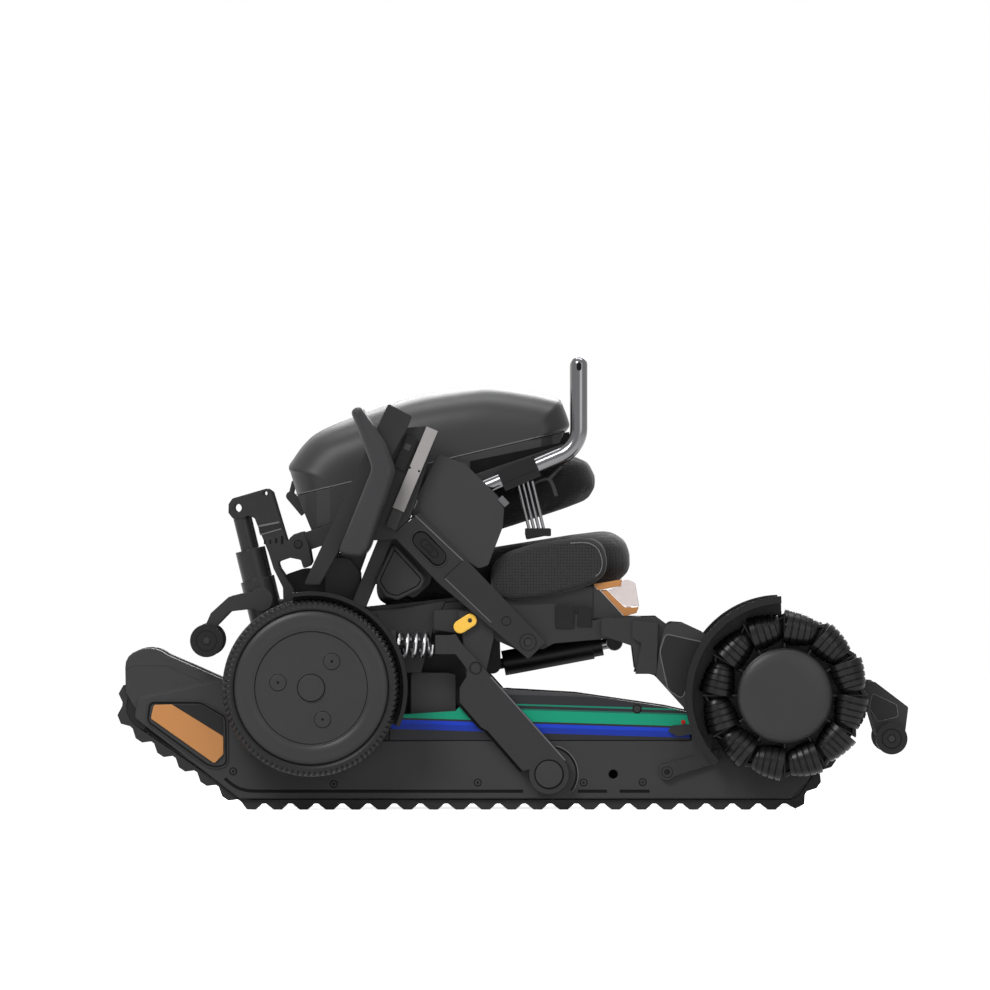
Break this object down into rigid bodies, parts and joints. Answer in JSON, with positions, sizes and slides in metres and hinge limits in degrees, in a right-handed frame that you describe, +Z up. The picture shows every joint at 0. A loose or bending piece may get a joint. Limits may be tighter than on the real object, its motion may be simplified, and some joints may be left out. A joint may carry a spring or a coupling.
{
  "type": "stair climbing wheelchair",
  "caption": "Folded powered wheelchair on lowered crawler tracks, with roller front wheels, flip-back armrests, a forward-folding backrest with a hard case, and a push handle.",
  "frame": {"origin": "on the ground, under the middle of the folded chair's box", "axes": "+X to the front of the chair, +Y to the sitter's left, +Z up"},
  "size_m": [1.1318, 0.64, 0.649],
  "materials": {
    "frame_paint": "satin charcoal powder coat",
    "dark_paint": "satin black powder coat",
    "charcoal_plastic": "fine moulded texture",
    "black_plastic": "fine moulded texture",
    "case_shell": "polished black shell",
    "fairing": "dark grey with a green and blue stripe",
    "belt_rubber": "moulded rubber",
    "tyre_rubber": "moulded tread rubber",
    "roller_rubber": "smooth dense rubber",
    "seat_fabric": "perforated black fabric",
    "pad_foam": "soft touch charcoal foam skin",
    "chrome": "polished",
    "steel": "brushed",
    "amber": "amber reflector",
    "clear_lens": "clear lens",
    "yellow_plastic": "smooth yellow",
    "machine_metal": "dark cast metal"
  },
  "bodies": {
    "chassis": {"main_frame": "frame_paint", "seat_pan": "dark_paint", "seat_cushion": "seat_fabric", "control_box": "black_plastic", "battery_pack": "black_plastic", "rear_drive_units": "machine_metal", "rear_fenders": "black_plastic", "rear_struts": "frame_paint", "caster_arms": "frame_paint", "lamp_housings": "charcoal_plastic", "lamp_lenses": "clear_lens", "lamp_reflectors": "amber", "side_covers": "charcoal_plastic", "actuator_barrel": "dark_paint", "coil_springs": "chrome"},
    "backrest": {"backrest_frame": "frame_paint", "backrest_cushion": "seat_fabric", "case_tray": "case_shell", "handle_clamps": "black_plastic", "fold_rods": "steel"},
    "lid": {"case_lid": "case_shell"},
    "handle": {"push_handle": "chrome"},
    "armrest_right": {"arm_link_right": "charcoal_plastic", "arm_body_right": "charcoal_plastic", "arm_pad_right": "pad_foam", "side_guard_right": "charcoal_plastic"},
    "armrest_left": {"arm_link_left": "charcoal_plastic", "arm_body_left": "charcoal_plastic", "arm_pad_left": "pad_foam", "side_guard_left": "charcoal_plastic"},
    "button_right": {"arm_button_right": "black_plastic"},
    "button_left": {"arm_button_left": "black_plastic"},
    "rear_wheel_right": {"rear_tyre_right": "tyre_rubber", "rear_rim_right": "charcoal_plastic"},
    "rear_wheel_left": {"rear_tyre_left": "tyre_rubber", "rear_rim_left": "charcoal_plastic"},
    "carriage": {"carriage_frame": "dark_paint", "front_drive_units": "charcoal_plastic", "front_fenders": "black_plastic"},
    "front_wheel_right": {"omni_hub_right": "charcoal_plastic", "omni_rollers_right": "roller_rubber"},
    "front_wheel_left": {"omni_hub_left": "charcoal_plastic", "omni_rollers_left": "roller_rubber"},
    "guides": {"guide_rollers": "roller_rubber"},
    "actuator": {"actuator_rod": "steel"},
    "arms": {"swing_arms": "frame_paint"},
    "tracks": {"track_frame_right": "charcoal_plastic", "track_frame_left": "charcoal_plastic", "track_belt_right": "belt_rubber", "track_belt_left": "belt_rubber", "track_fairings": "fairing", "amber_reflectors": "amber", "tension_levers": "frame_paint"},
    "sprockets": {"track_sprockets": "machine_metal"},
    "idlers": {"track_idlers": "black_plastic"},
    "front_track_rollers": {"front_rollers": "black_plastic"},
    "rear_track_rollers": {"rear_rollers": "black_plastic"},
    "return_track_rollers": {"return_rollers": "black_plastic"},
    "casters": {"caster_wheels": "roller_rubber"},
    "lever": {"release_lever": "yellow_plastic"}
  },
  "joints": [
    {"name": "backrest_fold", "type": "hinge", "parent": "chassis", "child": "backrest", "pos_m": [-0.306, 0, 0.38], "axis": [0, -1, 0], "range_deg": [0, 90]},
    {"name": "case_open", "type": "hinge", "parent": "backrest", "child": "lid", "pos_m": [-0.318, 0, 0.449], "axis": [0, -1, 0], "range_deg": [0, 50]},
    {"name": "handle_slide", "type": "slide", "parent": "backrest", "child": "handle", "axis": [0.9205, 0, 0.3907], "range_m": [0, 0.1]},
    {"name": "armrest_right_flip", "type": "hinge", "parent": "chassis", "child": "armrest_right", "pos_m": [0.025, 0, 0.239], "axis": [0, 1, 0], "range_deg": [0, 64]},
    {"name": "armrest_left_flip", "type": "hinge", "parent": "chassis", "child": "armrest_left", "pos_m": [0.025, 0, 0.239], "axis": [0, 1, 0], "range_deg": [0, 64]},
    {"name": "button_right_press", "type": "slide", "parent": "armrest_right", "child": "button_right", "axis": [0, 1, 0], "range_m": [0, 0.003], "stiffness_N_per_m": 600, "springref_m": -0.004},
    {"name": "button_left_press", "type": "slide", "parent": "armrest_left", "child": "button_left", "axis": [0, -1, 0], "range_m": [0, 0.003], "stiffness_N_per_m": 600, "springref_m": -0.004},
    {"name": "rear_right_spin", "type": "hinge", "parent": "chassis", "child": "rear_wheel_right", "pos_m": [-0.287, 0, 0.175], "axis": [0, 1, 0], "continuous": true},
    {"name": "rear_left_spin", "type": "hinge", "parent": "chassis", "child": "rear_wheel_left", "pos_m": [-0.287, 0, 0.175], "axis": [0, 1, 0], "continuous": true},
    {"name": "carriage_swing", "type": "hinge", "parent": "chassis", "child": "carriage", "pos_m": [0.143, 0, 0.262], "axis": [0, 1, 0], "range_deg": [0, 9]},
    {"name": "front_right_spin", "type": "hinge", "parent": "carriage", "child": "front_wheel_right", "pos_m": [0.3895, 0, 0.164], "axis": [0, 1, 0], "continuous": true},
    {"name": "front_left_spin", "type": "hinge", "parent": "carriage", "child": "front_wheel_left", "pos_m": [0.3895, 0, 0.164], "axis": [0, 1, 0], "continuous": true},
    {"name": "guide_spin", "type": "hinge", "parent": "carriage", "child": "guides", "pos_m": [0.543, 0, 0.102], "axis": [0, 1, 0], "continuous": true},
    {"name": "actuator_stroke", "type": "slide", "parent": "chassis", "child": "actuator", "axis": [0.9827, 0, 0.1853], "range_m": [-0.0042, 0]},
    {"name": "track_lift", "type": "hinge", "parent": "chassis", "child": "arms", "pos_m": [-0.052, 0, 0.203], "axis": [0, -1, 0], "range_deg": [0, 22], "deforming": ["coil_springs"]},
    {"name": "track_level", "type": "hinge", "parent": "arms", "child": "tracks", "pos_m": [0.053, 0, 0.051], "axis": [0, -1, 0], "range_deg": [-22.5, 0]},
    {"name": "sprocket_spin", "type": "hinge", "parent": "tracks", "child": "sprockets", "pos_m": [0.42776, 0, 0.09666], "axis": [0, 1, 0], "continuous": true},
    {"name": "idler_spin", "type": "hinge", "parent": "tracks", "child": "idlers", "pos_m": [-0.516, 0, 0.148], "axis": [0, 1, 0], "continuous": true},
    {"name": "front_roller_spin", "type": "hinge", "parent": "tracks", "child": "front_track_rollers", "pos_m": [0.39543, 0, 0.0366], "axis": [0, 1, 0], "continuous": true},
    {"name": "rear_roller_spin", "type": "hinge", "parent": "tracks", "child": "rear_track_rollers", "pos_m": [-0.37302, 0, 0.0446], "axis": [0, 1, 0], "continuous": true},
    {"name": "return_roller_spin", "type": "hinge", "parent": "tracks", "child": "return_track_rollers", "pos_m": [-0.38348, 0, 0.11373], "axis": [0, 1, 0], "continuous": true},
    {"name": "caster_spin", "type": "hinge", "parent": "chassis", "child": "casters", "pos_m": [-0.437, 0, 0.242], "axis": [0, 1, 0], "continuous": true},
    {"name": "release_turn", "type": "hinge", "parent": "chassis", "child": "lever", "pos_m": [-0.06, 0, 0.271], "axis": [0, 1, 0], "range_deg": [0, 40]}
  ],
  "couplings": [
    {"joint": "actuator_stroke", "follows": "carriage_swing", "m_per_rad": -0.023343},
    {"joint": "track_level", "follows": "track_lift", "ratio": -1},
    {"joint": "idler_spin", "follows": "sprocket_spin", "ratio": 0.8315},
    {"joint": "front_roller_spin", "follows": "sprocket_spin", "ratio": 1.3704},
    {"joint": "rear_roller_spin", "follows": "sprocket_spin", "ratio": 1},
    {"joint": "return_roller_spin", "follows": "sprocket_spin", "ratio": -1.48}
  ]
}
